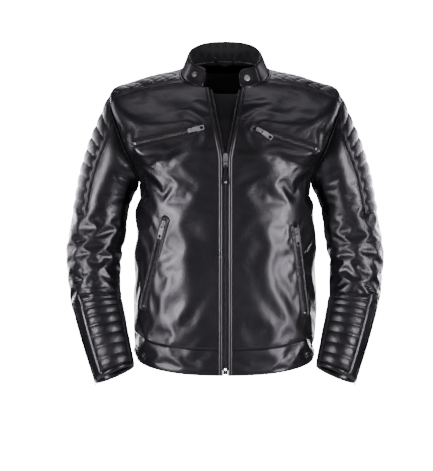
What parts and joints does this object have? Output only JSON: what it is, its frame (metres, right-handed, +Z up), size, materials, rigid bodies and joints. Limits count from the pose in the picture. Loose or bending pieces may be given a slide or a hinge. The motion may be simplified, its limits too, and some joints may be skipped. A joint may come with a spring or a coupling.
{
  "type": "leather riding jacket",
  "caption": "Zip-front leather riding jacket with a snap-tab band collar, quilted upper sleeves and forearms, zipped chest and hand pockets, zipped cuffs.",
  "frame": {"origin": "on the neck's axis, at the height where the collar meets the shoulder line", "axes": "+Z up, -Y the way the wearer faces, +X the wearer's left"},
  "size_m": [0.6682, 0.2465, 0.7206],
  "materials": {
    "shell_leather": "glossy full-grain black leather with a fine grain, creased where it bends",
    "quilted_leather": "the same black leather, padded and sewn in channels",
    "trim_leather": "glossy black leather strip, stitched along both edges",
    "knit_fabric": "matte black ribbed knit",
    "lining_fabric": "black woven lining, soft sheen",
    "zip_tape": "black woven herringbone tape",
    "bright_metal": "polished nickel, lightly worn",
    "dark_metal": "dark nickel teeth, worn bright on the crowns",
    "armour_foam": "soft black protector foam, moulded cells"
  },
  "bodies": {
    "root": {"back_panel": "shell_leather", "back_protector": "armour_foam", "body_lining": "lining_fabric", "chest_pocket_bags": "lining_fabric", "chest_pocket_welts": "trim_leather", "chest_zip_tapes": "zip_tape", "chest_zip_teeth": "dark_metal", "collar_lining": "knit_fabric", "collar_shell": "shell_leather", "collar_snap_stud": "bright_metal", "cuff_zip_tapes": "zip_tape", "cuff_zip_teeth": "dark_metal", "elbow_protectors": "armour_foam", "forearm_quilt_left": "quilted_leather", "forearm_quilt_right": "quilted_leather", "front_panel_left": "shell_leather", "front_panel_right": "shell_leather", "front_placket_left": "trim_leather", "front_placket_right": "trim_leather", "front_zip_box": "bright_metal", "front_zip_tape_left": "zip_tape", "front_zip_tape_right": "zip_tape", "front_zip_teeth_left": "dark_metal", "front_zip_teeth_right": "dark_metal", "hand_pocket_bags": "lining_fabric", "hand_pocket_welts": "trim_leather", "hand_zip_tapes": "zip_tape", "hand_zip_teeth": "dark_metal", "hanger_loop": "trim_leather", "hem_band_back": "shell_leather", "hem_band_left": "shell_leather", "hem_band_right": "shell_leather", "shoulder_protectors": "armour_foam", "shoulder_yoke_left": "shell_leather", "shoulder_yoke_right": "shell_leather", "side_straps": "trim_leather", "sleeve_left": "shell_leather", "sleeve_linings": "lining_fabric", "sleeve_quilt_left": "quilted_leather", "sleeve_quilt_right": "quilted_leather", "sleeve_right": "shell_leather", "wind_flap": "trim_leather"},
    "front_slider": {"front_slider": "bright_metal"},
    "front_pull_link": {"front_pull_link": "bright_metal"},
    "front_pull_tab": {"front_pull_tab": "trim_leather"},
    "collar_tab": {"collar_tab": "trim_leather", "collar_snap_cap": "bright_metal"},
    "chest_slider_right": {"chest_slider_right": "bright_metal"},
    "chest_pull_right": {"chest_pull_right": "bright_metal"},
    "chest_slider_left": {"chest_slider_left": "bright_metal"},
    "chest_pull_left": {"chest_pull_left": "bright_metal"},
    "hand_slider_right": {"hand_slider_right": "bright_metal"},
    "hand_pull_right": {"hand_pull_right": "bright_metal"},
    "hand_slider_left": {"hand_slider_left": "bright_metal"},
    "hand_pull_left": {"hand_pull_left": "bright_metal"},
    "cuff_slider_left": {"cuff_slider_left": "bright_metal"},
    "cuff_pull_left": {"cuff_pull_left": "bright_metal"},
    "cuff_slider_right": {"cuff_slider_right": "bright_metal"},
    "cuff_pull_right": {"cuff_pull_right": "bright_metal"}
  },
  "joints": [
    {"name": "front_slider_run", "type": "slide", "parent": "root", "child": "front_slider", "axis": [0, 0, -1], "range_m": [0, 0.412]},
    {"name": "front_link_hinge", "type": "hinge", "parent": "front_slider", "child": "front_pull_link", "pos_m": [0, -0.1231, -0.2059], "axis": [-1, 0, 0], "range_deg": [0, 110]},
    {"name": "front_tab_hinge", "type": "hinge", "parent": "front_pull_link", "child": "front_pull_tab", "pos_m": [0, -0.1231, -0.223], "axis": [-1, 0, 0], "range_deg": [0, 50]},
    {"name": "chest_slider_right_run", "type": "slide", "parent": "root", "child": "chest_slider_right", "axis": [-0.9677, 0.1282, -0.2171], "range_m": [0, 0.11]},
    {"name": "chest_pull_right_hinge", "type": "hinge", "parent": "chest_slider_right", "child": "chest_pull_right", "pos_m": [-0.07213, -0.1208, -0.1502], "axis": [0.1988, -0.1416, -0.9698], "range_deg": [0, 140]},
    {"name": "chest_slider_left_run", "type": "slide", "parent": "root", "child": "chest_slider_left", "axis": [0.9458, 0.1148, -0.3037], "range_m": [0, 0.115]},
    {"name": "chest_pull_left_hinge", "type": "hinge", "parent": "chest_slider_left", "child": "chest_pull_left", "pos_m": [0.06909, -0.12119, -0.14936], "axis": [-0.5349, -0.1784, -0.8258], "range_deg": [0, 140]},
    {"name": "hand_slider_right_run", "type": "slide", "parent": "root", "child": "hand_slider_right", "axis": [-0.242, 0.165, -0.9561], "range_m": [0, 0.169]},
    {"name": "hand_pull_right_hinge", "type": "hinge", "parent": "hand_slider_right", "child": "hand_pull_right", "pos_m": [-0.127, -0.10406, -0.33981], "axis": [-0.7838, 0.5477, 0.2929], "range_deg": [0, 140]},
    {"name": "hand_slider_left_run", "type": "slide", "parent": "root", "child": "hand_slider_left", "axis": [0.122, 0.0883, -0.9886], "range_m": [0, 0.163]},
    {"name": "hand_pull_left_hinge", "type": "hinge", "parent": "hand_slider_left", "child": "hand_pull_left", "pos_m": [0.14493, -0.09376, -0.35386], "axis": [-0.7669, -0.6239, -0.1504], "range_deg": [0, 140]},
    {"name": "cuff_slider_left_run", "type": "slide", "parent": "root", "child": "cuff_slider_left", "axis": [0.2987, 0.2087, 0.9313], "range_m": [0, 0.131]},
    {"name": "cuff_pull_left_hinge", "type": "hinge", "parent": "cuff_slider_left", "child": "cuff_pull_left", "pos_m": [0.27413, -0.0689, -0.64106], "axis": [-0.3567, -0.8807, 0.3118], "range_deg": [0, 140]},
    {"name": "cuff_slider_right_run", "type": "slide", "parent": "root", "child": "cuff_slider_right", "axis": [-0.2987, 0.2087, 0.9313], "range_m": [0, 0.131]},
    {"name": "cuff_pull_right_hinge", "type": "hinge", "parent": "cuff_slider_right", "child": "cuff_pull_right", "pos_m": [-0.27413, -0.0689, -0.64106], "axis": [-0.3567, 0.8807, -0.3118], "range_deg": [0, 140]},
    {"name": "collar_tab_hinge", "type": "hinge", "parent": "root", "child": "collar_tab", "pos_m": [0.06743, -0.048, -0.02842], "axis": [-0.31, 0.0845, 0.947], "range_deg": [0, 70]}
  ]
}
